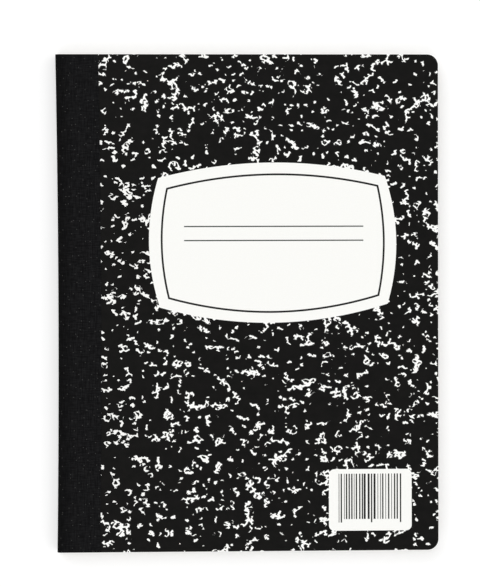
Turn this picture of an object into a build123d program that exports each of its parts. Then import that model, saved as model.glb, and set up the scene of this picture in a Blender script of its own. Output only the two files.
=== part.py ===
from build123d import *
import os

# A composition notebook, closed and lying on its back cover. All sizes are in millimetres.
#
# X runs across the covers from the spine (-X) to the fore edge (+X), Y runs from the tail (-Y) to the
# head (+Y), and Z is the thickness. The origin is under the middle of the closed book.
#
# The pages are one signature: sheets folded together, sewn through the fold with a lockstitch, and
# rounded along the fold. Each cover is a greyboard with a printed facing paper outside and a lining
# paper inside. One strip of cloth tape wraps the spine and laps onto both covers: it is their hinge.

# overall size, with the covers and the pages trimmed together
COVER_WIDTH = 190.5  # spine to fore edge, over the tape
COVER_HEIGHT = 247.65  # tail to head
FORE_CORNER_RADIUS = 5.5  # the two corners at the fore edge
SPINE_BOW = 1.0  # the sewing draws the middle of the spine this far in from its two ends

# pages
LEAF_COUNT = 100
LEAF_THICKNESS = 0.075
FOLD_RADIUS = 2.0  # how round the folded edge is, above and below

# covers
BOARD_THICKNESS = 0.9
FACING_THICKNESS = 0.12
LINING_THICKNESS = 0.15
BOARD_SETBACK = 2.0  # from the folded edge of the pages to the board, where the cover bends

# cloth tape
TAPE_THICKNESS = 0.25
TAPE_LAP = 21.4  # from the spine to the tape's edge on each cover
TAPE_BEDDING = 0.05  # how deep each lap is pressed into the facing paper

# hinges of the covers
HINGE_CLEARANCE = 0.3  # between a cover turned right back and the folded edge of the pages
LINING_HINGE_GAP = 0.15  # each lining runs past its board and stops this short of the hinge line

# sewing
THREAD_DIAMETER = 0.35
THREAD_BEND_RADIUS = 0.3  # where a thread turns into a needle hole, and where it turns back
THREAD_LOOP_WIDTH = 0.7  # between the two stretches of a thread in one hole
THREAD_CLEARANCE = 0.08  # round a thread in its groove, channel and holes
THREAD_LOCK_GAP = 0.04  # between the two threads where they meet inside a hole
STITCH_LENGTH = 9.5
STITCH_DEPTH = 3.75  # from the folded edge to the stitches inside the fold

# heights, from the surface that the book lies on
BLOCK_THICKNESS = LEAF_COUNT * LEAF_THICKNESS
BOARD_AND_PAPERS = LINING_THICKNESS + BOARD_THICKNESS + FACING_THICKNESS
TAPE_PROUD = TAPE_THICKNESS - TAPE_BEDDING
BLOCK_BOTTOM = TAPE_PROUD + BOARD_AND_PAPERS
BLOCK_TOP = BLOCK_BOTTOM + BLOCK_THICKNESS
BOARD_BOTTOM = BLOCK_TOP + LINING_THICKNESS  # of the front board
FACING_BOTTOM = BOARD_BOTTOM + BOARD_THICKNESS  # of the front facing
BOOK_THICKNESS = FACING_BOTTOM + FACING_THICKNESS + TAPE_PROUD
MID_HEIGHT = BOOK_THICKNESS / 2

# places across the book
FORE_EDGE_X = COVER_WIDTH / 2
SPINE_X = -COVER_WIDTH / 2
LAP_EDGE_X = SPINE_X + TAPE_LAP
FOLD_X = SPINE_X + TAPE_THICKNESS
BOARD_EDGE_X = FOLD_X + BOARD_SETBACK
HINGE_X = (FOLD_X + BOARD_EDGE_X - HINGE_CLEARANCE) / 2
LINING_EDGE_X = HINGE_X + LINING_HINGE_GAP

# the threads' places, at mid thickness
THREAD_RADIUS = THREAD_DIAMETER / 2
GROOVE_RADIUS = THREAD_RADIUS + THREAD_CLEARANCE
NEEDLE_HOLE_RADIUS = THREAD_LOOP_WIDTH / 2 + GROOVE_RADIUS
OUTSIDE_STITCH_X = FOLD_X + THREAD_RADIUS  # flush with the folded edge
INSIDE_STITCH_X = FOLD_X + STITCH_DEPTH
LOCK_X = (OUTSIDE_STITCH_X + INSIDE_STITCH_X) / 2
LOCK_REACH = THREAD_RADIUS + THREAD_LOCK_GAP / 2  # from the lock to the middle of either thread


def bow_at(y):
    """How far the bowed spine lies in from its ends, at this place along it."""
    half = COVER_HEIGHT / 2
    radius = (half**2 + SPINE_BOW**2) / (2 * SPINE_BOW)
    return SPINE_BOW - radius + (radius**2 - y**2) ** 0.5


def spine_line(end_x, height=0):
    """The bowed line of the spine, from tail to head, through the x given at both of its ends."""
    end_y = COVER_HEIGHT / 2
    return ThreePointArc((end_x, -end_y, height), (end_x + SPINE_BOW, 0, height), (end_x, end_y, height))


def trimmed_sheet(spine_edge_x, bottom, thickness):
    """A sheet or board cut to the book's outline: bowed at the spine, rounded at the fore edge."""
    end_y = COVER_HEIGHT / 2
    spine_edge = spine_line(spine_edge_x)
    other_edges = Polyline(
        (spine_edge_x, end_y), (FORE_EDGE_X, end_y), (FORE_EDGE_X, -end_y), (spine_edge_x, -end_y)
    )
    outline = make_face([spine_edge, other_edges])
    fore_corners = outline.vertices().group_by(Axis.X)[-1]
    return extrude(Pos(0, 0, bottom) * fillet(fore_corners, FORE_CORNER_RADIUS), thickness)


def on_back_cover(front_piece):
    """The matching piece of the back cover, mirrored through the middle of the book."""
    return mirror(front_piece, about=Plane.XY.offset(MID_HEIGHT))


def front_board():
    return trimmed_sheet(BOARD_EDGE_X, BOARD_BOTTOM, BOARD_THICKNESS)


def front_lining():
    """The paper pasted inside the cover, with a narrow free edge at the hinge."""
    return trimmed_sheet(LINING_EDGE_X, BLOCK_TOP, LINING_THICKNESS)


def front_facing():
    """The printed paper outside the cover, pressed down where the tape's lap lies on it."""
    paper = trimmed_sheet(BOARD_EDGE_X, FACING_BOTTOM, FACING_THICKNESS)
    return paper - spine_tape()


def rounded_along_fold(slab, radius):
    """The slab with its two long edges at the spine rounded off."""
    spine_edges = slab.edges().filter_by(GeomType.CIRCLE).sort_by(SortBy.RADIUS).group_by(Axis.X)[0]
    return fillet(spine_edges, radius)


def tape_form(inset):
    """The form that the tape wraps, out to its laps' edges, this far inside the tape's outer face."""
    end_y = COVER_HEIGHT / 2
    start_x = SPINE_X + inset
    outline = make_face(
        [
            spine_line(start_x),
            Line((start_x, end_y), (LAP_EDGE_X, end_y)),
            spine_line(LAP_EDGE_X),
            Line((LAP_EDGE_X, -end_y), (start_x, -end_y)),
        ]
    )
    slab = extrude(Pos(0, 0, inset) * outline, BOOK_THICKNESS - 2 * inset)
    return rounded_along_fold(slab, BOARD_SETBACK + TAPE_THICKNESS - inset)


def spine_tape():
    """One strip of cloth round the spine, with a lap on each cover and a rounded shoulder at each."""
    return tape_form(0) - tape_form(TAPE_THICKNESS)


def stitch_holes():
    """The needle holes' places along the fold, evenly spaced about the middle of the book."""
    stitches = int(COVER_HEIGHT // STITCH_LENGTH) - 1
    return [(i - stitches / 2) * STITCH_LENGTH for i in range(stitches + 1)]


def groove_along_fold(stitch_x):
    """A round channel from tail to head for a line of stitches, which are pulled tight against the
    side of it that faces the other thread."""
    slack = THREAD_CLEARANCE if stitch_x > LOCK_X else -THREAD_CLEARANCE
    line = spine_line(stitch_x + slack, MID_HEIGHT)
    section = Plane(line @ 0, z_dir=line % 0) * Circle(GROOVE_RADIUS)
    return sweep(section, path=line)


def needle_hole(y):
    """A hole through the fold, from outside the folded edge to the stitches inside."""
    mouth = Plane.YZ.offset(SPINE_X) * Pos(y, MID_HEIGHT) * Circle(NEEDLE_HOLE_RADIUS)
    return extrude(mouth, INSIDE_STITCH_X + bow_at(y) - SPINE_X)


def page_block():
    """All the pages as one solid, rounded along the fold, with room for the sewing."""
    block = rounded_along_fold(trimmed_sheet(FOLD_X, BLOCK_BOTTOM, BLOCK_THICKNESS), FOLD_RADIUS)
    block -= [groove_along_fold(OUTSIDE_STITCH_X), groove_along_fold(INSIDE_STITCH_X)]
    return block - [needle_hole(y) for y in stitch_holes()]


def thread(stitch_x, lock_x):
    """A thread that runs along the fold at stitch_x and turns in to lock_x at each needle hole."""
    end_y = COVER_HEIGHT / 2
    route = [(stitch_x, -end_y)]
    for y in stitch_holes():
        before = y - THREAD_LOOP_WIDTH / 2
        after = y + THREAD_LOOP_WIDTH / 2
        route += [(stitch_x, before), (lock_x, before), (lock_x, after), (stitch_x, after)]
    route.append((stitch_x, end_y))
    points = [(x + bow_at(y), y, MID_HEIGHT) for x, y in route]
    line = FilletPolyline(*points, radius=THREAD_BEND_RADIUS)
    section = Plane(line @ 0, z_dir=line % 0) * Circle(THREAD_RADIUS)
    return sweep(section, path=line)


def needle_thread():
    """The lockstitch's outer thread, along the folded edge under the tape."""
    return thread(OUTSIDE_STITCH_X, LOCK_X - LOCK_REACH)


def bobbin_thread():
    """The lockstitch's inner thread, along the middle opening of the pages."""
    return thread(INSIDE_STITCH_X, LOCK_X + LOCK_REACH)


def notebook():
    """Every piece of the closed book, by name."""
    board = front_board()
    lining = front_lining()
    facing = front_facing()
    return {
        "page_block": page_block(),
        "needle_thread": needle_thread(),
        "bobbin_thread": bobbin_thread(),
        "spine_tape": spine_tape(),
        "front_board": board,
        "front_lining": lining,
        "front_facing": facing,
        "back_board": on_back_cover(board),
        "back_lining": on_back_cover(lining),
        "back_facing": on_back_cover(facing),
    }


os.makedirs("parts", exist_ok=True)
for name, piece in notebook().items():
    export_step(piece, f"parts/{name}.step")
    print(f"{name}: {len(piece.solids())} solid, {piece.volume:.1f} mm3")

print(f"closed book {COVER_WIDTH} x {COVER_HEIGHT} x {BOOK_THICKNESS:.2f}")
print(f"front hinge line at x {HINGE_X:.3f}, z {BLOCK_TOP:.3f}, back at x {HINGE_X:.3f}, z {BLOCK_BOTTOM:.3f}")
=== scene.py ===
# %% [markdown]
# # A marbled composition notebook
# The notebook is two pasteboard covers on a sewn block of folded sheets, and a strip of black
# bookcloth that holds them together round the back. The CAD model gives every size. This lesson
# gives the pieces their looks: marbled paper, woven cloth, grey board, and the cut edges of a
# hundred leaves. All lengths are in metres, so a millimetre is written as MM.

# %% Load the frame
import math
import random

import bmesh
import bpy
from mathutils import Matrix, Vector


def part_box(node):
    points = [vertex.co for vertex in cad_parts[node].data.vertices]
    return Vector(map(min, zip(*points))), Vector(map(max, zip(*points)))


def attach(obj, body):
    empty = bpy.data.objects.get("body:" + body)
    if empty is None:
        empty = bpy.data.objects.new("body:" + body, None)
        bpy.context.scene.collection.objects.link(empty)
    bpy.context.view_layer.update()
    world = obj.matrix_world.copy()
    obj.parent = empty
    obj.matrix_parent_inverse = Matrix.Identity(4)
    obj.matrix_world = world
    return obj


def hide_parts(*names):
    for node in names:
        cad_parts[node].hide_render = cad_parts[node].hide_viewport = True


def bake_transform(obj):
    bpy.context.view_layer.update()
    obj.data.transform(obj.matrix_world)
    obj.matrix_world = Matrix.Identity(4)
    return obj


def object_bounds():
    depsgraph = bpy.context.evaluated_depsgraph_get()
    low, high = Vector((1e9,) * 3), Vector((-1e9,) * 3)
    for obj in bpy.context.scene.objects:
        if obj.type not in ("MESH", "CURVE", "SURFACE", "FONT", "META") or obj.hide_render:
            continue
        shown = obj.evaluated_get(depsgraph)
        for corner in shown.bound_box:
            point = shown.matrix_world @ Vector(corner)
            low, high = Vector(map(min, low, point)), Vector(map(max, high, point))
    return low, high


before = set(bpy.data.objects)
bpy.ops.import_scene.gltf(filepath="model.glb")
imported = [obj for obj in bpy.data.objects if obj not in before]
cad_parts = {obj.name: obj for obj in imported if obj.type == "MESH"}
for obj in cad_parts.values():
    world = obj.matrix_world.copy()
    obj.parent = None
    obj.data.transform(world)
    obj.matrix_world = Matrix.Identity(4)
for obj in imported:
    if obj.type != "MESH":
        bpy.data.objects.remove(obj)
cad_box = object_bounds()
MM = 0.001
print("CAD box in mm:", [[round(value / MM, 2) for value in corner] for corner in cad_box])

# %% [markdown]
# ## Sizes that the pieces share
# Every size that the CAD model already holds is read from its boxes, so that the looks can't
# drift away from the construction. A box can't give a curve or a wall, so five small sizes are
# repeated: how far the spine bows in at the middle of its height, how round the cloth turns over
# the edge and how thick it is, and how round the fold and the outer corners of the sheets are.

# %% Read the sizes
block_low, block_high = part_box("page_block")
tape_low, tape_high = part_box("spine_tape")
board_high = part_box("front_board")[1]
COVER_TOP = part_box("front_facing")[1].z

HALF_HEIGHT = board_high.y
FORE_EDGE = board_high.x
BLOCK_MIDDLE = (block_low.z + block_high.z) / 2
SPINE_BOW = 1.0 * MM
CLOTH_ROUND = 2.25 * MM
CLOTH_THICK = 0.25 * MM
FOLD_ROUND = 2.0 * MM
CORNER_ROUND = 5.5 * MM
print("half height", round(HALF_HEIGHT / MM, 3), "block middle", round(BLOCK_MIDDLE / MM, 3))

# %% [markdown]
# ## Helpers for nodes
# Colours are picked as web hex values, which are sRGB, and Blender's nodes want linear light, so
# one function turns one into the other. A second function adds a shader node with its settings
# and links in one line. An input is given by its name, with _ for a space, or by its number,
# such as _0, where a node has several inputs of one name.

# %% Helpers for colour and nodes
def linear(hex_colour):
    """Turns '#RRGGBB' into the linear colour that a shader socket takes."""
    parts = [int(hex_colour[i : i + 2], 16) / 255 for i in (1, 3, 5)]
    light = [p / 12.92 if p <= 0.04045 else ((p + 0.055) / 1.055) ** 2.4 for p in parts]
    return (*light, 1.0)


def node(tree, kind, settings=None, **inputs):
    """Adds a node. Settings are its own properties; inputs are values, or sockets to link."""
    made = tree.nodes.new("ShaderNode" + kind)
    for name, value in (settings or {}).items():
        setattr(made, name, value)
    for name, value in inputs.items():
        wanted = name.replace("_", " ")
        socket = made.inputs[int(name[1:])] if name[1:].isdigit() else made.inputs[wanted]
        if isinstance(value, bpy.types.NodeSocket):
            tree.links.new(value, socket)
        else:
            socket.default_value = value
    return made


print("a middle grey is", round(linear("#808080")[0], 3), "in linear light")

# %% [markdown]
# ## Helpers for materials
# Every material here is made in the same four steps. Its pattern is laid out in millimetres, so
# that a pattern's scale is simply how many of its steps fit in a millimetre. The pattern is
# graded between two close colours, because no real surface has only one. The same pattern then
# makes it a little rougher and smoother from place to place, and dents it.

# %% Helpers for materials
NOISE_SPAN = (0.3, 0.7)  # Blender's noise seldom leaves this range


def new_material(name):
    """An empty node material and its tree."""
    material = bpy.data.materials.new(name)
    material.use_nodes = True
    material.node_tree.nodes.clear()
    return material, material.node_tree


def places_in_mm(tree, **changes):
    """Places on the object in millimetres; changes are other values for the Mapping node."""
    here = node(tree, "TexCoord")
    changes.setdefault("Scale", (1 / MM, 1 / MM, 1 / MM))
    return node(tree, "Mapping", Vector=here.outputs["Object"], **changes).outputs[0]


def tones(tree, pattern, dark, light, span=NOISE_SPAN):
    """Grades a pattern between two colours over the span of its values."""
    share = node(tree, "MapRange", Value=pattern, From_Min=span[0], From_Max=span[1])
    return node(tree, "Mix", {"data_type": "RGBA"}, _0=share.outputs[0], _6=linear(dark),
                _7=linear(light)).outputs[2]


def faces_up(tree, least):
    """1 on a sheet's two faces and 0 on its cut edge, by how upright the surface stands."""
    facing = node(tree, "NewGeometry")
    upward = node(tree, "SeparateXYZ", Vector=facing.outputs["True Normal"])
    upward = node(tree, "Math", {"operation": "ABSOLUTE"}, _0=upward.outputs["Z"])
    return node(tree, "Math", {"operation": "GREATER_THAN"}, _0=upward.outputs[0],
                _1=least).outputs[0]


def surface(tree, colour, grain, roughness, dents, strength, depth, span=NOISE_SPAN, **plain):
    """Ends a material: the grain sets its roughness, and dents are pressed in, depth in mm."""
    rough = node(tree, "MapRange", Value=grain, From_Min=span[0], From_Max=span[1],
                 To_Min=roughness[0], To_Max=roughness[1])
    bump = node(tree, "Bump", Strength=strength, Distance=depth * MM, Height=dents)
    shader = node(tree, "BsdfPrincipled", Base_Color=colour, Roughness=rough.outputs[0],
                  Normal=bump.outputs[0], **plain)
    node(tree, "OutputMaterial", Surface=shader.outputs[0])


print("noise is spread over", NOISE_SPAN)

# %% [markdown]
# ## Helpers for pieces
# A bmesh is a mesh in the making, and these turn a finished one into an object. Each piece also
# says which body of the CAD model it rides on, so that it swings with its cover, and which
# material it takes. A CAD piece whose shape is already right stays as it is, and is only dressed
# in a material.

# %% Helpers for pieces
def make_object(name, bm, material):
    """Makes a bmesh an object with its material."""
    mesh = bpy.data.meshes.new(name)
    bm.to_mesh(mesh)
    bm.free()
    mesh.materials.append(material)
    made = bpy.data.objects.new(name, mesh)
    bpy.context.scene.collection.objects.link(made)
    return made


def finish_piece(name, bm, material, body):
    """Makes a bmesh a piece of the notebook, riding on a body if one is given."""
    bmesh.ops.recalc_face_normals(bm, faces=bm.faces)
    piece = make_object(name, bm, material)
    if body:
        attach(piece, body)
    print(name, "has", len(piece.data.polygons), "faces")
    return piece


def dress(node_name, material):
    """Gives a carried-over CAD piece its material."""
    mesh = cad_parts[node_name].data
    mesh.materials.clear()
    mesh.materials.append(material)
    print(node_name, "is", material.name)


# %% [markdown]
# ## The white floor
# The notebook lies on a sheet of white paper and is seen from straight above, as a page on a
# copy stand is. A floor could be made bright enough to look white with more light, but then the
# notebook's own white would burn out. So the floor is plain white paper that also glows a little
# to the camera, and to rays that leave a glossy or clear surface. It reads as pure white, and
# still keeps the notebook's soft shadow.

# %% Build the white floor
FLOOR_HALF = 6.0
FLOOR_GAP = 0.02 * MM
FLOOR_GLOW = 0.21


def background_rays(tree):
    """1 for rays from the camera and from glossy or clear surfaces, which see the background."""
    path = node(tree, "LightPath")
    seen = path.outputs["Is Camera Ray"]
    for kind in ("Is Glossy Ray", "Is Transmission Ray"):
        seen = node(tree, "Math", {"operation": "MAXIMUM"}, _0=seen,
                    _1=path.outputs[kind]).outputs[0]
    return seen


# Matt white paper: no gloss at all, so nothing shows on it but the shadow.
floor_paper, tree = new_material("white_sweep_paper")
paper = node(tree, "BsdfDiffuse", Color=linear("#F0F0F0"))
glow = node(tree, "Emission", Color=(1, 1, 1, 1), Strength=FLOOR_GLOW)
both = node(tree, "AddShader", _0=paper.outputs[0], _1=glow.outputs[0])
shown = node(tree, "MixShader", _0=background_rays(tree), _1=paper.outputs[0],
             _2=both.outputs[0])
node(tree, "OutputMaterial", Surface=shown.outputs[0])

bm = bmesh.new()
bmesh.ops.create_grid(bm, x_segments=1, y_segments=1, size=FLOOR_HALF)
bmesh.ops.translate(bm, verts=bm.verts, vec=(0, 0, cad_box[0].z - FLOOR_GAP))
floor = make_object("floor", bm, floor_paper)
print("the floor is", 2 * FLOOR_HALF, "m wide")

# %% [markdown]
# ## Soft light from all round
# Big soft lights leave no hard shadow, so the light here is an even sky and three very soft
# suns. Together they light a flat white page to about its own colour, so a colour comes out as
# it is written. The suns stand well to the sides: from straight above, black paper then shows
# its colour and not their reflection. The window is the strongest, so the shadow falls mostly away
# from it. Camera, glossy and clear rays see a plain white sky.

# %% Light it softly
SKY_LEVEL = 0.52
sky = bpy.data.worlds.new("even_sky")
bpy.context.scene.world = sky
sky.use_nodes = True
tree = sky.node_tree
tree.nodes.clear()
even = node(tree, "Background", Color=(1, 1, 1, 1), Strength=SKY_LEVEL)
white = node(tree, "Background", Color=(1, 1, 1, 1), Strength=1.0)
shown = node(tree, "MixShader", _0=background_rays(tree), _1=even.outputs[0],
             _2=white.outputs[0])
node(tree, "OutputWorld", Surface=shown.outputs[0])


def soft_sun(name, level, azimuth, elevation, spread):
    """A sun that lights a flat white page to the given share of its own colour."""
    turn = math.radians(azimuth)
    height = math.radians(elevation)
    lamp = bpy.data.lights.new(name, "SUN")
    lamp.energy = level * math.pi / math.sin(height)
    lamp.angle = math.radians(spread)
    holder = bpy.data.objects.new(name, lamp)
    towards = Vector((math.sin(turn), math.cos(turn), 0)) * math.cos(height)
    towards.z = math.sin(height)
    holder.rotation_euler = towards.to_track_quat("Z", "Y").to_euler()
    bpy.context.scene.collection.objects.link(holder)
    print(name, "lights to", level)


soft_sun("window_left", level=0.25, azimuth=-30, elevation=46, spread=60)
soft_sun("bounce_right", level=0.09, azimuth=100, elevation=44, spread=60)
soft_sun("bounce_foot", level=0.15, azimuth=200, elevation=44, spread=60)

# %% [markdown]
# ## The camera
# A camera straight above a flat thing sees a plain rectangle. This one leans a degree or two to
# the left and up, as one on a real stand does, so a little of the spine shows. It is placed by
# turning it about the point that it looks at, and then backing it away along its own axis. A
# long lens from far off keeps the sides almost parallel.

# %% Stand the camera over it
LENS = 110.8
SENSOR = 36.0
STAND_HEIGHT = 900 * MM
AIM = Vector((-3.85, 4.9, 10.0)) * MM
LEAN_LEFT = math.radians(1.8)
LEAN_UP = math.radians(0.9)
ROLL = math.radians(-0.17)

camera = bpy.data.cameras.new("copy_stand")
camera.sensor_width = SENSOR
camera.lens = LENS
camera.clip_start = 0.01
camera.clip_end = 50.0
over = bpy.data.objects.new("copy_stand", camera)
stand = Matrix.Rotation(-LEAN_LEFT, 4, "Y") @ Matrix.Rotation(-LEAN_UP, 4, "X")
stand = stand @ Matrix.Rotation(ROLL, 4, "Z")
back_away = Matrix.Translation((0, 0, STAND_HEIGHT))
over.matrix_world = Matrix.Translation(AIM) @ stand @ back_away
bpy.context.scene.collection.objects.link(over)
bpy.context.scene.camera = over
bpy.context.scene.view_settings.view_transform = "Standard"
print("camera at", [round(value, 4) for value in over.matrix_world.translation])

# %% [markdown]
# ## How the flecks of the marbling wander
# The covers are faced with paper printed in black with a white fleck, in the old agate pattern:
# short bent rods, three-armed specks and dots, scattered in drifts. It could be painted, but a
# pattern made by nodes is sharp at any distance and has no seam. Two things make it look
# natural, and they come first. Every outline is bent by a noise, and one slow noise says where
# the flecks crowd together and where the paper stays clear. Sizes are in mm.

# %% Bend and crowd the flecks
DRIFT = 13.0  # how far it is from one crowded drift to the next
GATHER = 0.5  # how strongly the flecks keep to the drifts


def crooked(tree, place, seed, step, amount):
    """Moves a pattern's places by its own seed, and bends them by a noise with steps in mm."""
    moved = node(tree, "VectorMath", {"operation": "ADD"}, _0=place, _1=(seed, seed * 0.7, 0))
    noise = node(tree, "TexNoise", {"noise_dimensions": "2D"}, Vector=moved.outputs[0],
                 Scale=1 / step, Detail=1.0, Roughness=0.5)
    push = node(tree, "VectorMath", {"operation": "SUBTRACT"}, _0=noise.outputs["Color"],
                _1=(0.5, 0.5, 0.5))
    push = node(tree, "VectorMath", {"operation": "SCALE"}, _0=push.outputs[0], Scale=amount)
    return node(tree, "VectorMath", {"operation": "ADD"}, _0=moved.outputs[0],
                _1=push.outputs[0]).outputs[0]


def crowding(tree, place, seed):
    """How crowded the flecks are here: about 0.5, more in a drift and less in a clear patch."""
    moved = node(tree, "VectorMath", {"operation": "ADD"}, _0=place, _1=(seed, seed, 0))
    return node(tree, "TexNoise", {"noise_dimensions": "2D"}, Vector=moved.outputs[0],
                Scale=1 / DRIFT, Detail=1.5, Roughness=0.6).outputs["Fac"]


print("drifts are", DRIFT, "mm apart")

# %% [markdown]
# ## Arms and spots
# A Voronoi texture divides the plane into cells. Their borders are a network of short straight
# lines that meet in threes, which is what the three-armed specks look like, so the arms are
# those borders with most of their length left out. The nearest-point distance of another
# Voronoi makes the dots. Both functions return how deep a place lies inside a fleck in mm, and
# less than nothing outside, so the layers can be joined by taking the greater.

# %% Draw arms and spots
ARM_BEND_STEP = 1.9
ARM_BEND = 1.7
ARM_END = 0.025  # a low value makes an arm end bluntly
NO_ARM = -0.2
SPOT_BEND_STEP = 1.1
SPOT_BEND = 0.8
SPOT_GROWTH = 0.35
SMALLEST_SPOT = 0.7
NO_SPOT = -0.1


def arms(tree, place, crowd, cell, width, run, seed, wanted):
    """Short crooked arms: the borders of cells, kept only where a noise and the crowding allow."""
    bent = crooked(tree, place, seed, ARM_BEND_STEP, ARM_BEND)
    border = node(tree, "TexVoronoi", {"feature": "DISTANCE_TO_EDGE",
                  "voronoi_dimensions": "2D"}, Vector=bent, Scale=1 / cell, Randomness=1.0)
    away = node(tree, "Math", {"operation": "MULTIPLY"}, _0=border.outputs["Distance"],
                _1=cell)
    keep = node(tree, "TexNoise", {"noise_dimensions": "2D"}, Vector=bent, Scale=1 / run,
                Detail=0.0)
    keep = node(tree, "Math", {"operation": "MULTIPLY_ADD"}, _0=crowd, _1=GATHER,
                _2=keep.outputs["Fac"])
    half = node(tree, "MapRange", Value=keep.outputs[0], From_Min=wanted,
                From_Max=wanted + ARM_END, To_Min=NO_ARM, To_Max=width / 2)
    return node(tree, "Math", {"operation": "SUBTRACT"}, _0=half.outputs[0],
                _1=away.outputs[0]).outputs[0]


def spots(tree, place, crowd, cell, radius, seed, wanted):
    """Round-cornered spots, one to a cell at most; the cell's own dice decides if it has one."""
    bent = crooked(tree, place, seed, SPOT_BEND_STEP, SPOT_BEND + radius)
    near = node(tree, "TexVoronoi", {"feature": "F1", "voronoi_dimensions": "2D"},
                Vector=bent, Scale=1 / cell, Randomness=1.0)
    away = node(tree, "Math", {"operation": "MULTIPLY"}, _0=near.outputs["Distance"], _1=cell)
    dice = node(tree, "SeparateColor", _0=near.outputs["Color"])
    keep = node(tree, "Math", {"operation": "MULTIPLY_ADD"}, _0=crowd, _1=GATHER,
                _2=dice.outputs[0])
    size = node(tree, "MapRange", Value=keep.outputs[0], From_Min=wanted,
                From_Max=wanted + SPOT_GROWTH, To_Min=radius * SMALLEST_SPOT, To_Max=radius)
    some = node(tree, "Math", {"operation": "GREATER_THAN"}, _0=keep.outputs[0], _1=wanted)
    size = node(tree, "Math", {"operation": "MULTIPLY_ADD"}, _0=size.outputs[0],
                _1=some.outputs[0], _2=NO_SPOT)
    return node(tree, "Math", {"operation": "SUBTRACT"}, _0=size.outputs[0],
                _1=away.outputs[0]).outputs[0]


print("arms are bent by up to", ARM_BEND / 2, "mm")

# %% [markdown]
# ## Marbled cover paper
# The facing paper is a thin coated sheet, printed on its face only. Two layers of arms, coarse
# and fine, and two layers of spots are joined, and the ink is black wherever none of them is.
# The cut edge of the sheet has no ink on it, so the paper's own white is shown there: a sheet is
# thin and level, so its edge is where the surface faces sideways.

# %% Make the marbled paper
FLATTER = 1.18  # the flecks are this much longer across the cover than up it
FLECK_EDGE = 0.025
INK_CLOUDS = 0.2  # steps to the mm, so 5 mm clouds
PAPER_TOOTH = 3.0  # steps to the mm, so a tooth of a third of a mm


def marbled_paper(name, shift):
    """Black coated paper with white flecks; shift moves the pattern so no two sheets match."""
    # Offset ink on clay-coated paper: dense black with hardly any sheen, and flecks with crisp
    # edges. The coating is smooth, so only its fine tooth breaks up the light.
    material, tree = new_material(name)
    flat = places_in_mm(tree, Scale=(1 / MM, FLATTER / MM, 1 / MM), Location=shift)
    crowd = crowding(tree, flat, 5.0)
    layers = [
        arms(tree, flat, crowd, cell=3.4, width=1.12, run=3.6, seed=11.0, wanted=0.958),
        arms(tree, flat, crowd, cell=2.7, width=1.0, run=5.0, seed=83.0, wanted=0.977),
        spots(tree, flat, crowd, cell=3.3, radius=0.50, seed=47.0, wanted=1.18),
        spots(tree, flat, crowd, cell=7.5, radius=1.05, seed=29.0, wanted=1.12),
    ]
    flecks = layers[0]
    for layer in layers[1:]:
        flecks = node(tree, "Math", {"operation": "MAXIMUM"}, _0=flecks, _1=layer).outputs[0]
    white_here = node(tree, "MapRange", Value=flecks, From_Min=-FLECK_EDGE,
                      From_Max=FLECK_EDGE)
    clouds = node(tree, "TexNoise", Vector=flat, Scale=INK_CLOUDS, Detail=4.0, Roughness=0.6)
    black = tones(tree, clouds.outputs["Fac"], "#080807", "#100F0E")
    printed_face = node(tree, "Mix", {"data_type": "RGBA"}, _0=white_here.outputs[0],
                        _6=black, _7=linear("#FCFCF9"))
    colour = node(tree, "Mix", {"data_type": "RGBA"}, _0=faces_up(tree, 0.5),
                  _6=linear("#D9D6CC"), _7=printed_face.outputs[2])
    tooth = node(tree, "TexNoise", Vector=flat, Scale=PAPER_TOOTH, Detail=3.0, Roughness=0.6)
    tooth = tooth.outputs["Fac"]
    surface(tree, colour.outputs[2], tooth, (0.42, 0.52), tooth, 0.15, 0.02, IOR=1.48,
            Specular_IOR_Level=0.07)
    return material


dress("front_facing", marbled_paper("marbled_coated_paper_front", (0.0, 0.0, 0.0)))
dress("back_facing", marbled_paper("marbled_coated_paper_back", (412.0, 95.0, 0.0)))

# %% [markdown]
# ## The weave of the bookcloth
# Bookcloth is plain woven cotton, dyed black and filled with starch, so its threads show only
# faintly. Two sets of stripes at right angles, multiplied, give the little squares where threads
# cross. Long thin noises along each direction are the uneven yarns. The weave must follow the
# cloth round the back, so it reads a UV map that holds each point's place on the flat strip. The
# real threads lie a little closer together; these are as coarse as they need to be to show.

# %% Weave the bookcloth
THREAD_PITCH = 0.55
YARN_ACROSS = (0.22, 1.7, 1.0)  # steps to the mm: streaks 4.5 mm long and 0.6 mm high
YARN_ALONG = (1.7, 0.16, 1.0)  # the same for the threads that run up the spine
WANDER_STEPS = 0.35  # steps to the mm
WANDER_BY = 0.5
LINT_GAP = 0.22  # steps to the mm, so one speck of lint every 4.5 mm
# Painted shade round the back, in mm along the cloth from the middle of the back:
SHOULDER_SHADE_FROM = 5.0
SHOULDER_SHADE_TO = 12.0

# Filled cotton: matt, near-black, with almost no sheen. Its threads and specks of pale lint are
# what tells the eye that it is cloth beside the smooth paper.
bookcloth, tree = new_material("black_filled_bookcloth")
weave = node(tree, "UVMap", {"uv_map": "Weave"})
in_mm = node(tree, "Mapping", Vector=weave.outputs["UV"], Scale=(1 / MM, 1 / MM, 1 / MM))
in_mm = in_mm.outputs[0]
wander = node(tree, "TexNoise", {"noise_dimensions": "2D"}, Vector=in_mm,
              Scale=WANDER_STEPS, Detail=2.0, Roughness=0.6)
push = node(tree, "VectorMath", {"operation": "SCALE"}, _0=wander.outputs["Color"],
            Scale=WANDER_BY)
laid = node(tree, "VectorMath", {"operation": "ADD"}, _0=in_mm, _1=push.outputs[0])
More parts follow.
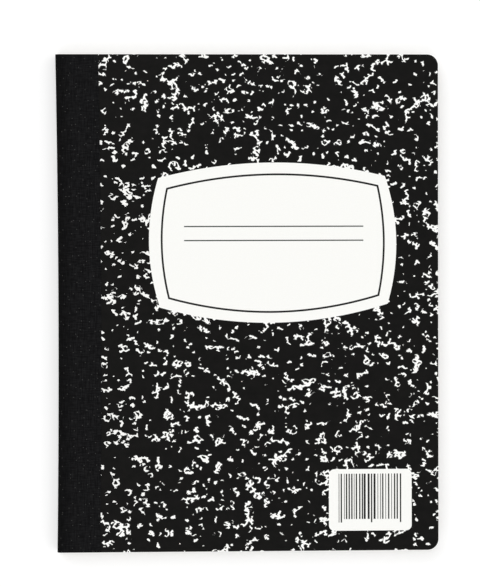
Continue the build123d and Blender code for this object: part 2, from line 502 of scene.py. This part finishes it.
# At a scale of 1 the stripes of the wave node are pi / 10 apart.
warp, weft = [node(tree, "TexWave", {"wave_type": "BANDS", "bands_direction": way},
                   Vector=laid.outputs[0], Scale=math.pi / (10 * THREAD_PITCH),
                   Distortion=0.4, Detail=1.0) for way in "XY"]
woven = node(tree, "Math", {"operation": "MULTIPLY"}, _0=warp.outputs["Fac"],
             _1=weft.outputs["Fac"])
streaks = []
for stretch in (YARN_ACROSS, YARN_ALONG):
    drawn_out = node(tree, "Mapping", Vector=in_mm, Scale=stretch)
    streaks.append(node(tree, "TexNoise", {"noise_dimensions": "2D"},
                        Vector=drawn_out.outputs[0], Scale=1.0, Detail=2.0, Roughness=0.55))
yarn = node(tree, "Math", {"operation": "MULTIPLY"}, _0=streaks[0].outputs["Fac"],
            _1=streaks[1].outputs["Fac"])
tone = node(tree, "Math", {"operation": "MULTIPLY_ADD"}, _0=woven.outputs[0], _1=0.35,
            _2=yarn.outputs[0])
black = tones(tree, tone.outputs[0], "#050506", "#212122", span=(0.18, 0.60))
# Painted shade: the cloth is darkened where it turns away from the light round the back, fully
# for 5 mm along it from the middle of the back, and fading out by 12 mm.
across = node(tree, "SeparateXYZ", Vector=in_mm)
across = node(tree, "Math", {"operation": "ABSOLUTE"}, _0=across.outputs["X"])
shoulder_shade = node(tree, "MapRange", Value=across.outputs[0], From_Min=SHOULDER_SHADE_FROM,
             From_Max=SHOULDER_SHADE_TO, To_Min=0.62, To_Max=0.0)
black = node(tree, "Mix", {"data_type": "RGBA"}, _0=shoulder_shade.outputs[0], _6=black,
             _7=linear("#030303"))
lint = node(tree, "TexVoronoi", {"voronoi_dimensions": "2D", "feature": "F1"}, Vector=in_mm,
            Scale=LINT_GAP, Randomness=1.0)
lint = node(tree, "MapRange", Value=lint.outputs["Distance"], From_Min=0.030, From_Max=0.055,
            To_Min=0.35, To_Max=0.0)
cloth_colour = node(tree, "Mix", {"data_type": "RGBA"}, _0=lint.outputs[0],
                    _6=black.outputs[2], _7=linear("#6E6E6B"))
ribs = node(tree, "Math", {"operation": "ADD"}, _0=woven.outputs[0], _1=yarn.outputs[0])
surface(tree, cloth_colour.outputs[2], yarn.outputs[0], (0.75, 0.9), ribs.outputs[0], 0.5,
        0.06, span=(0.1, 0.5), IOR=1.5, Specular_IOR_Level=0.045)
print("threads are", THREAD_PITCH, "mm apart")

# %% [markdown]
# ## Where the strip goes round the back
# Seen from the head, half of the strip is a straight web up the middle of the back, a quarter
# turn over the shoulder, and a straight lap on the cover. Adding up those three gives the width
# that half of it was cut to. The strip could be pushed into shape by hand, but then the cloth
# would stretch. Here each point keeps its distance along the cloth, as on the real one.

# %% Measure the strip
TAPE_EDGE = tape_high.x - SPINE_BOW
TAPE_OUTER = tape_low.x
SHOULDER_X = TAPE_OUTER + CLOTH_ROUND
SHOULDER_Z = tape_high.z - CLOTH_ROUND
WEB = SHOULDER_Z - BLOCK_MIDDLE
TURN = CLOTH_ROUND * math.pi / 2
LAP = TAPE_EDGE - SHOULDER_X
CUT = WEB + TURN + LAP


def bow(y):
    """How far the spine stands in from its two ends at this height of the book."""
    return SPINE_BOW * (1 - (y / HALF_HEIGHT) ** 2)


def round_the_back(across):
    """Where a point of the flat strip comes to lie: x, and height above the block's middle."""
    if across < WEB:
        return TAPE_OUTER, across
    if across < WEB + TURN:
        turned = (across - WEB) / CLOTH_ROUND
        return (SHOULDER_X - CLOTH_ROUND * math.cos(turned),
                WEB + CLOTH_ROUND * math.sin(turned))
    return SHOULDER_X + across - WEB - TURN, WEB + CLOTH_ROUND


print("half of the strip is", round(CUT / MM, 2), "mm wide when flat")

# %% [markdown]
# ## The bookcloth strip round the back
# The strip is cut flat and bent round, so it is made the same way here: a flat grid is laid out,
# its flat places are kept as a UV map for the weave, and then it is turned round the back. Both
# covers swing on it, and a piece can bend at one joint only, so the strip is two pieces that
# meet, thread on thread, in the middle of the back.

# %% Cut the strip flat and bend it round the back
STRIP_STEPS = (88, 32)
SMOOTH_BELOW = math.radians(40)


def half_strip(name, side):
    """Half of the strip, from the middle of the back to one cover; side is 1 front, -1 back."""
    bm = bmesh.new()
    bmesh.ops.create_grid(bm, x_segments=STRIP_STEPS[0], y_segments=STRIP_STEPS[1], size=0.5)
    bmesh.ops.translate(bm, verts=bm.verts, vec=(0.5, 0, 0))
    bmesh.ops.scale(bm, verts=bm.verts, vec=(CUT, 2 * HALF_HEIGHT, 1))
    flat_map = bm.loops.layers.uv.new("Weave")
    for face in bm.faces:
        for corner in face.loops:
            corner[flat_map].uv = (side * corner.vert.co.x, corner.vert.co.y)
    for vert in bm.verts:
        x, up = round_the_back(vert.co.x)
        vert.co = (x + bow(vert.co.y), vert.co.y, BLOCK_MIDDLE + side * up)
    if side < 0:
        bmesh.ops.reverse_faces(bm, faces=bm.faces)
    bm.normal_update()
    bmesh.ops.solidify(bm, geom=list(bm.faces), thickness=CLOTH_THICK)
    piece = finish_piece(name, bm, bookcloth, None)
    piece.data.shade_smooth()
    piece.data.set_sharp_from_angle(angle=SMOOTH_BELOW)
    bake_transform(piece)
    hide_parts("spine_tape")


half_strip("bookcloth_front_half", 1)
half_strip("bookcloth_back_half", -1)

# %% [markdown]
# ## Writing paper
# The pages are plain uncoated paper. Seen flat, a page is an even warm white with a faint cloudy
# look, which two noises give. Seen edge on, a stack of them is a run of fine pale and grey lines,
# because the leaves are not quite level with each other and catch the light unevenly. One noise,
# stretched long and level, draws those lines on the cut edges as painted light and shade, on top
# of the real steps between the leaves. The cut edges are also painted darker than the page, for
# the shade between the leaves.

# %% Make the writing paper
FIBRES = 1.6  # steps to the mm
PAGE_CLOUDS = 0.06  # steps to the mm, so clouds of 17 mm
EDGE_SHADE_LINES = (0.012, 0.012, 2.6)  # steps to the mm: lines 0.4 mm high and 80 mm long

# Uncoated paper: warm white and quite matt, so that it looks dry beside the coated cover.
writing_paper, tree = new_material("uncoated_writing_paper")
in_mm = places_in_mm(tree)
fibre = node(tree, "TexNoise", Vector=in_mm, Scale=FIBRES, Detail=5.0, Roughness=0.65)
fibre = fibre.outputs["Fac"]
cloud = node(tree, "TexNoise", Vector=in_mm, Scale=PAGE_CLOUDS, Detail=2.0, Roughness=0.5)
page_tone = node(tree, "Math", {"operation": "MULTIPLY_ADD"}, _0=cloud.outputs["Fac"],
                 _1=0.6, _2=fibre)
page = tones(tree, page_tone.outputs[0], "#EFEEE8", "#F7F6F1", span=(0.5, 1.1))
# Painted light and shade: pale and grey lines on the cut edges, darker than the page overall.
level_lines = node(tree, "Mapping", Vector=in_mm, Scale=EDGE_SHADE_LINES)
edge_light_and_shade = node(tree, "TexNoise", Vector=level_lines.outputs[0], Scale=1.0, Detail=5.0,
             Roughness=0.75)
cut_edge = tones(tree, edge_light_and_shade.outputs["Fac"], "#B9B6AC", "#F1EFE8", span=(0.32, 0.68))
colour = node(tree, "Mix", {"data_type": "RGBA"}, _0=faces_up(tree, 0.7), _6=cut_edge,
              _7=page)
surface(tree, colour.outputs[2], fibre, (0.8, 0.9), fibre, 0.2, 0.02, IOR=1.5,
        Specular_IOR_Level=0.25)
print("the writing paper is made")

# %% [markdown]
# ## One folded sheet
# The pages are fifty sheets folded once and sewn through the fold, so there are a hundred
# leaves. A plain block would have one flat edge with lines painted on it. Real sheets catch the
# light, so each is built: a grid is laid flat for the upper leaf, its two outer corners are
# bevelled round, and its inner edge is spun a quarter turn and carried down the back. What shows
# of a closed block is the outside, so only the outermost sheet is whole, and each one inside it
# is a rim along its cut edges. A hand never leaves a stack quite level, so each leaf is a few
# hundredths of a millimetre out.

# %% Fold a sheet
SHEETS = 50
INK_ROOM = 0.03 * MM
RIM = 0.35 * MM
TIGHTEST_FOLD = 0.12 * MM
WIDTH_PLAY = 0.07
HEIGHT_PLAY = 0.05
CORNER_STEPS = 6
BOW_STEPS = 16
ROUND_FOLD_STEPS = 8
TIGHT_FOLD_STEPS = 3
TINY = 0.0001 * MM
BLOCK_HALF = block_high.z - BLOCK_MIDDLE - INK_ROOM
SHEET_PITCH = BLOCK_HALF / SHEETS
handling = random.Random(7)


def lay_flat(bm, left, right, bottom, top, level, steps_high=1):
    """Lays a flat rectangle, in metres, in one step across and as many up as are wanted."""
    bmesh.ops.create_grid(bm, x_segments=1, y_segments=steps_high, size=0.5)
    bmesh.ops.scale(bm, verts=bm.verts, vec=(right - left, top - bottom, 1))
    bmesh.ops.translate(bm, verts=bm.verts,
                        vec=((left + right) / 2, (bottom + top) / 2, level))


def keep_band(bm, width):
    """Takes the middle out of a flat shape and leaves a band along its outline."""
    band = bmesh.ops.inset_region(bm, faces=bm.faces[:], use_boundary=True, thickness=width,
                                  use_even_offset=True)
    middle = [f for f in bm.faces if f not in band["faces"]]
    bmesh.ops.delete(bm, geom=middle, context="FACES")


def fold_down(bm, edges, fold_x, half, turn):
    """Turns the given edges of a leaf round the fold and down to the middle of the block."""
    turned = bmesh.ops.spin(bm, geom=edges, cent=(fold_x, 0, BLOCK_MIDDLE + half - turn),
                            axis=(0, 1, 0), angle=-math.pi / 2,
                            steps=ROUND_FOLD_STEPS if turn > 0.5 * MM
                            else TIGHT_FOLD_STEPS)
    last = [e for e in turned["geom_last"] if isinstance(e, bmesh.types.BMEdge)]
    down = bmesh.ops.extrude_edge_only(bm, edges=last)
    for vert in (v for v in down["geom"] if isinstance(v, bmesh.types.BMVert)):
        vert.co.z = BLOCK_MIDDLE


def half_sheet(number):
    """The upper half of a sheet, counted from the outside, from its fore edge to its fold."""
    inset = number * SHEET_PITCH
    half = BLOCK_HALF - inset
    turn = min(max(FOLD_ROUND - inset, TIGHTEST_FOLD), half)
    fold_x = block_low.x + inset + turn
    fore_edge = block_high.x - handling.uniform(0, WIDTH_PLAY) * MM
    half_height = HALF_HEIGHT - handling.uniform(0, HEIGHT_PLAY) * MM
    bm = bmesh.new()
    lay_flat(bm, fold_x, fore_edge, -half_height, half_height, BLOCK_MIDDLE + half,
             steps_high=1 if number else BOW_STEPS)
    corners = [v for v in bm.verts if v.co.x > 0 and abs(v.co.y) > half_height - 0.1 * MM]
    bmesh.ops.bevel(bm, geom=corners, offset=CORNER_ROUND, segments=CORNER_STEPS, profile=0.5,
                    material=-1, affect="VERTICES")
    if number:
        keep_band(bm, RIM)
        for end in (-1, 1):
            bmesh.ops.bisect_plane(bm, geom=bm.verts[:] + bm.edges[:] + bm.faces[:],
                                   dist=TINY, plane_co=(0, end * (half_height - RIM), 0),
                                   plane_no=(0, 1, 0))
    fold = [e for e in bm.edges if all(v.co.x < fold_x + 0.001 * MM for v in e.verts)]
    if number:
        fold = [e for e in fold if max(abs(v.co.y) for v in e.verts) > half_height - RIM / 2]
    fold_down(bm, fold, fold_x, half, turn)
    return bm


print("a sheet has", round(SHEET_PITCH / MM, 4), "mm of the block's half thickness")

# %% [markdown]
# ## The block of folded sheets
# Mirroring the upper half of a sheet about the middle of the block makes its lower leaf. The
# back of the book bows in, and the sheets follow it near their folds. A mirror turns a shape
# inside out, so the normals are made to agree before the sheet is given its thickness, which is
# a little less than its share of the block, so that a dark line shows between two sheets.

# %% Stack the sheets
SHEET_FILL = 0.93


def build_block():
    """All the sheets in one mesh, each mirrored, bowed and given its thickness."""
    whole = bmesh.new()
    for number in range(SHEETS):
        bm = half_sheet(number)
        bmesh.ops.mirror(bm, geom=bm.verts[:] + bm.edges[:] + bm.faces[:], axis="Z",
                         matrix=Matrix.Translation((0, 0, -BLOCK_MIDDLE)), merge_dist=TINY)
        for vert in bm.verts:
            if vert.co.x < block_low.x + BLOCK_HALF + FOLD_ROUND:
                vert.co.x += bow(vert.co.y)
        bmesh.ops.recalc_face_normals(bm, faces=bm.faces)
        bmesh.ops.solidify(bm, geom=bm.faces[:], thickness=SHEET_FILL * SHEET_PITCH)
        part = bpy.data.meshes.new("sheet")
        bm.to_mesh(part)
        bm.free()
        whole.from_mesh(part)
        bpy.data.meshes.remove(part)
    return whole


block = finish_piece("folded_sheets", build_block(), writing_paper, "pages")
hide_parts("page_block")

# %% [markdown]
# ## Grey board
# Each cover is a pasteboard: waste paper pressed into a stiff grey sheet, which shows only at
# its cut edges. It keeps its CAD shape. Its surface could be one brown-grey, but the pulp was
# pressed in layers and holds darker scraps, so a noise is squeezed flat for the layers, and the
# middles of Voronoi cells make the scraps.

# %% Press the grey board
PULP_LAYERS = (0.5, 0.5, 5.0)  # steps to the mm: layers 0.2 mm high
SCRAPS = 1.2  # steps to the mm

# Pressed waste paper: a dull, fibrous grey-brown with no shine, the roughest thing on the book.
greyboard, tree = new_material("pressed_greyboard")
in_mm = places_in_mm(tree)
layers = node(tree, "Mapping", Vector=in_mm, Scale=PULP_LAYERS)
pulp = node(tree, "TexNoise", Vector=layers.outputs[0], Scale=1.0, Detail=5.0, Roughness=0.7)
pulp = pulp.outputs["Fac"]
board_colour = tones(tree, pulp, "#7E776B", "#A59D8F")
scrap = node(tree, "TexVoronoi", {"feature": "F1"}, Vector=in_mm, Scale=SCRAPS,
             Randomness=1.0)
scrap = node(tree, "MapRange", Value=scrap.outputs["Distance"], From_Min=0.12, From_Max=0.2,
             To_Min=0.6, To_Max=0.0)
board_colour = node(tree, "Mix", {"data_type": "RGBA"}, _0=scrap.outputs[0],
                    _6=board_colour, _7=linear("#4C473F"))
surface(tree, board_colour.outputs[2], pulp, (0.85, 0.95), pulp, 0.5, 0.05,
        Specular_IOR_Level=0.2)
dress("front_board", greyboard)
dress("back_board", greyboard)

# %% [markdown]
# ## Endpapers
# A plain paper is pasted inside each cover to hide the board and the turned cloth. It keeps its
# CAD shape too. It is a cheaper, creamier paper than the pages, so its two tones lie further
# apart and its grain is a little deeper.

# %% Lay the endpapers
LINING_GRAIN = 1.2  # steps to the mm
LINING_CLOUDS = 0.05  # steps to the mm, so clouds of 20 mm

# Cream lining paper: warmer and a shade darker than the pages, with a soft, even tooth.
endpaper, tree = new_material("plain_endpaper")
in_mm = places_in_mm(tree)
grain = node(tree, "TexNoise", Vector=in_mm, Scale=LINING_GRAIN, Detail=5.0, Roughness=0.65)
grain = grain.outputs["Fac"]
cloud = node(tree, "TexNoise", Vector=in_mm, Scale=LINING_CLOUDS, Detail=3.0, Roughness=0.5)
lining_tone = node(tree, "Math", {"operation": "MULTIPLY_ADD"}, _0=cloud.outputs["Fac"],
                   _1=0.25, _2=grain)
lining_colour = tones(tree, lining_tone.outputs[0], "#E6E2D6", "#F2EFE6", span=(0.4, 0.9))
surface(tree, lining_colour, grain, (0.75, 0.88), grain, 0.25, 0.03,
        Specular_IOR_Level=0.25)
dress("front_lining", endpaper)
dress("back_lining", endpaper)

# %% [markdown]
# ## Thread
# The sheets are sewn through the fold with a lockstitch, one cotton thread outside and one
# inside. Each is three plies twisted together. The CAD model holds the threads' round shape, and
# slanting stripes across them stand for the plies: real plies would be thousands of faces that
# nobody could see.

# %% Spin the thread
PLY_PITCH = 0.35
PLY_SLANT = math.radians(35)
FLUFF = 6.0  # steps to the mm

# Cotton thread: creamy and soft, with a dull light along each ply.
thread_cotton, tree = new_material("three_ply_cotton_thread")
in_mm = places_in_mm(tree, Rotation=(0, 0, PLY_SLANT))
ply = node(tree, "TexWave", {"wave_type": "BANDS", "bands_direction": "Y"}, Vector=in_mm,
           Scale=math.pi / (10 * PLY_PITCH), Distortion=0.5, Detail=1.0)
fluff = node(tree, "TexNoise", Vector=in_mm, Scale=FLUFF, Detail=3.0)
ply_tone = node(tree, "Math", {"operation": "MULTIPLY"}, _0=ply.outputs["Fac"],
                _1=fluff.outputs["Fac"])
thread_colour = node(tree, "Mix", {"data_type": "RGBA"}, _0=ply_tone.outputs[0],
                     _6=linear("#CFCABB"), _7=linear("#F4F1E6"))
surface(tree, thread_colour.outputs[2], fluff.outputs["Fac"], (0.7, 0.85),
        ply_tone.outputs[0], 0.6, 0.05)
dress("needle_thread", thread_cotton)
dress("bobbin_thread", thread_cotton)

# %% [markdown]
# ## Printing inks
# The name field, its lines and the page ruling are print. They could be drawn in the paper's own
# material, but a thin film of its own keeps a print's edge sharp from near by, and it can be
# made with the modelling tools. One function mixes every ink, because they differ only in
# colour, in how dry they look, and in how much of the paper's gloss they let through.

# %% Mix the printing inks
INK_TOOTH = 1.5  # steps to the mm


def printed(name, low, high, roughness, level):
    """A printed film: two close tones over the paper's tooth."""
    material, tree = new_material(name)
    tooth = node(tree, "TexNoise", Vector=places_in_mm(tree), Scale=INK_TOOTH, Detail=4.0,
                 Roughness=0.6)
    tooth = tooth.outputs["Fac"]
    surface(tree, tones(tree, tooth, low, high), tooth, (roughness - 0.05, roughness + 0.05),
            tooth, 0.1, 0.01, IOR=1.48, Specular_IOR_Level=level)
    print("mixed", name)
    return material


# Bare coated paper: the cleanest white on the cover, with a faint soft sheen.
white_field = printed("coated_paper_unprinted", "#F8F8F4", "#FBFBF8", 0.48, 0.22)
# Offset black: a shade lighter than the marbling's solid black, with the same dull sheen.
black_ink = printed("black_offset_ink", "#0E0E0E", "#161616", 0.45, 0.15)
# Thin dark rules: the paper shows through them, so they look grey.
rule_ink = printed("grey_rule_ink", "#3A403C", "#474D49", 0.5, 0.15)
# Ruling inks are watery and soak into the page, so they are pale and as matt as it is.
blue_ink = printed("pale_blue_ruling_ink", "#9DB6D2", "#ABC2DB", 0.8, 0.2)
red_ink = printed("pale_red_margin_ink", "#DE9A9E", "#E5A8AA", 0.8, 0.2)

# %% [markdown]
# ## Three shapes of film
# A field with bellied sides starts as four edges. Each is cut into short pieces, which are
# pushed out along a parabola, and then the loop is filled. A film is raised from a flat face by
# extruding it. Straight lines are thin flat boxes, many of them in one mesh. Sizes are in mm.

# %% Shape the films
FILM = 0.02 * MM
SIDE_CUTS = 31


def bellied(corners, bellies, low):
    """A flat face whose four sides bow out: corners in mm from the top left, clockwise."""
    bm = bmesh.new()
    places = [Vector((x * MM, y * MM, low)) for x, y in corners]
    middle = sum(places, Vector()) / 4
    for number, belly in enumerate(bellies):
        start = places[number]
        stop = places[(number + 1) % 4]
        along = stop - start
        out = Vector((along.y, -along.x, 0)).normalized()
        if out.dot((start + stop) / 2 - middle) < 0:
            out.negate()
        side = bm.edges.new((bm.verts.new(start), bm.verts.new(stop)))
        cut = bmesh.ops.subdivide_edges(bm, edges=[side], cuts=SIDE_CUTS)
        for vert in (v for v in cut["geom_inner"] if isinstance(v, bmesh.types.BMVert)):
            share = (vert.co - start).dot(along) / along.length_squared
            vert.co += out * belly * MM * 4 * share * (1 - share)
    bmesh.ops.remove_doubles(bm, verts=bm.verts[:], dist=0.001 * MM)
    bmesh.ops.edgeloop_fill(bm, edges=bm.edges[:])
    return bm


def thicken(bm, thickness):
    """Raises a flat face to a closed film."""
    raised = bmesh.ops.extrude_face_region(bm, geom=bm.faces[:])
    verts = [v for v in raised["geom"] if isinstance(v, bmesh.types.BMVert)]
    bmesh.ops.translate(bm, verts=verts, vec=(0, 0, thickness))


def bars(rectangles, low, thickness):
    """Thin flat bars in one mesh: each is left, right, bottom and top in mm."""
    bm = bmesh.new()
    for left, right, bottom, top in rectangles:
        made = bmesh.ops.create_cube(bm, size=1.0)
        bmesh.ops.scale(bm, verts=made["verts"],
                        vec=((right - left) * MM, (top - bottom) * MM, thickness))
        bmesh.ops.translate(bm, verts=made["verts"],
                            vec=((left + right) / 2 * MM, (bottom + top) / 2 * MM,
                                 low + thickness / 2))
    return bm


print("a film of ink is", FILM / MM, "mm thick")

# %% [markdown]
# ## The name field and its lines
# A white field is left in the marbling for the owner's name, with a black line inside its edge
# and two rules to write on. All four sides belly out, the two long ones most. The border is the
# same kind of face, a size smaller, with only a band along its outline kept. No words are
# printed on it.

# %% Print the name field
FIELD_CORNERS = [(-44.4, 62.4), (68.6, 63.3), (69.9, -0.4), (-43.7, -2.0)]
FIELD_BELLIES = [7.2, 5.0, 8.5, 5.0]
BORDER_CORNERS = [(-40.4, 57.5), (65.3, 58.8), (65.7, 3.5), (-39.6, 2.3)]
BORDER_BELLIES = [6.5, 3.0, 7.7, 3.2]
BORDER_WIDTH = 0.95 * MM
NAME_LINES = [(-31.6, 57.8, 38.0, 38.6), (-31.6, 57.8, 31.0, 31.6)]

bm = bellied(FIELD_CORNERS, FIELD_BELLIES, COVER_TOP)
thicken(bm, FILM)
finish_piece("name_field", bm, white_field, "front_cover")

bm = bellied(BORDER_CORNERS, BORDER_BELLIES, COVER_TOP + FILM)
keep_band(bm, BORDER_WIDTH)
thicken(bm, FILM)
finish_piece("name_border", bm, black_ink, "front_cover")

finish_piece("name_rules", bars(NAME_LINES, COVER_TOP + FILM, FILM), rule_ink, "front_cover")

# %% [markdown]
# ## The striped shop panel
# Low on the cover is a small white panel with rounded corners and a row of upright black stripes
# of mixed widths. Here the widths are simply drawn by a seeded dice, so the stripes mean nothing
# and carry no number. The panel is a plane with its corners bevelled, raised to a film. The
# stripes at both ends and in the middle reach lower than the others.

# %% Cut the panel and its stripes
PANEL = (40.3, 81.8, -113.9, -83.1)
PANEL_ROUND = 2.7 * MM
STRIPE_UNIT = 0.33
STRIPES_START = 45.2
STRIPES_STOP = 76.4
STRIPES_MIDDLE = 61.0
END_REACH = (1.1, 0.9)
MIDDLE_REACH = 0.8
LAST_STRIPE_ROOM = 0.4
STRIPE_TOP = -85.4
SHORT_FOOT = -108.1
LONG_FOOT = -109.8

bm = bmesh.new()
lay_flat(bm, *(value * MM for value in PANEL), COVER_TOP)
bmesh.ops.bevel(bm, geom=bm.verts[:], offset=PANEL_ROUND, segments=8, profile=0.5,
                material=-1, affect="VERTICES")
thicken(bm, FILM)
finish_piece("stripe_panel", bm, white_field, "front_cover")

dice = random.Random(57)
stripes = []
at = STRIPES_START
while at < STRIPES_STOP:
    wide = dice.choice((1, 1, 2, 2, 2, 3)) * STRIPE_UNIT
    at_an_end = at < STRIPES_START + END_REACH[0] or at > STRIPES_STOP - END_REACH[1]
    in_middle = abs(at - STRIPES_MIDDLE) < MIDDLE_REACH
    foot = LONG_FOOT if at_an_end or in_middle else SHORT_FOOT
    stripes.append((at, min(at + wide, STRIPES_STOP + LAST_STRIPE_ROOM), foot, STRIPE_TOP))
    at += wide + dice.choice((1, 2, 2, 2, 3)) * STRIPE_UNIT
finish_piece("stripes", bars(stripes, COVER_TOP + FILM, FILM), black_ink, "front_cover")
print(len(stripes), "stripes")

# %% [markdown]
# ## Ruled lines on the first and last page
# Wide ruling is a pale blue line every 8.7 mm below a deeper head margin, with one red line down
# the left of each page. Only the first and last page can ever be seen, so only they are ruled.
# The page's own surface lies a little inside the CAD block, which leaves room for the ink, so
# that the endpaper still lies flat on it. The red line is thicker than the blue, so it lies on
# top where they cross.

# %% Rule the pages
RULING = 8.7
HEAD = 31.0
FOOT = 6.0
MARGIN = 31.75
LINE = 0.28
SPINE_SIDE = -91.5
FORE_GAP = 0.4
END_GAP = 0.2


def ruling(name, page, side):
    """Rules one page; side is 1 for the first page, which faces up, and -1 for the last."""
    top = HALF_HEIGHT / MM - HEAD
    lines = []
    while top > -HALF_HEIGHT / MM + FOOT:
        lines.append((SPINE_SIDE, FORE_EDGE / MM - FORE_GAP, top - LINE / 2, top + LINE / 2))
        top -= RULING
    low = page if side > 0 else page - INK_ROOM / 2
    finish_piece(name + "_ruling", bars(lines, low, INK_ROOM / 2), blue_ink, "pages")
    across = SPINE_SIDE + MARGIN if side > 0 else FORE_EDGE / MM - MARGIN
    end = HALF_HEIGHT / MM - END_GAP
    low = page if side > 0 else page - INK_ROOM
    finish_piece(name + "_margin",
                 bars([(across - LINE / 2, across + LINE / 2, -end, end)], low, INK_ROOM),
                 red_ink, "pages")
    print(name, "has", len(lines), "lines")


ruling("first_page", block_high.z - INK_ROOM, 1)
ruling("last_page", block_low.z + INK_ROOM, -1)
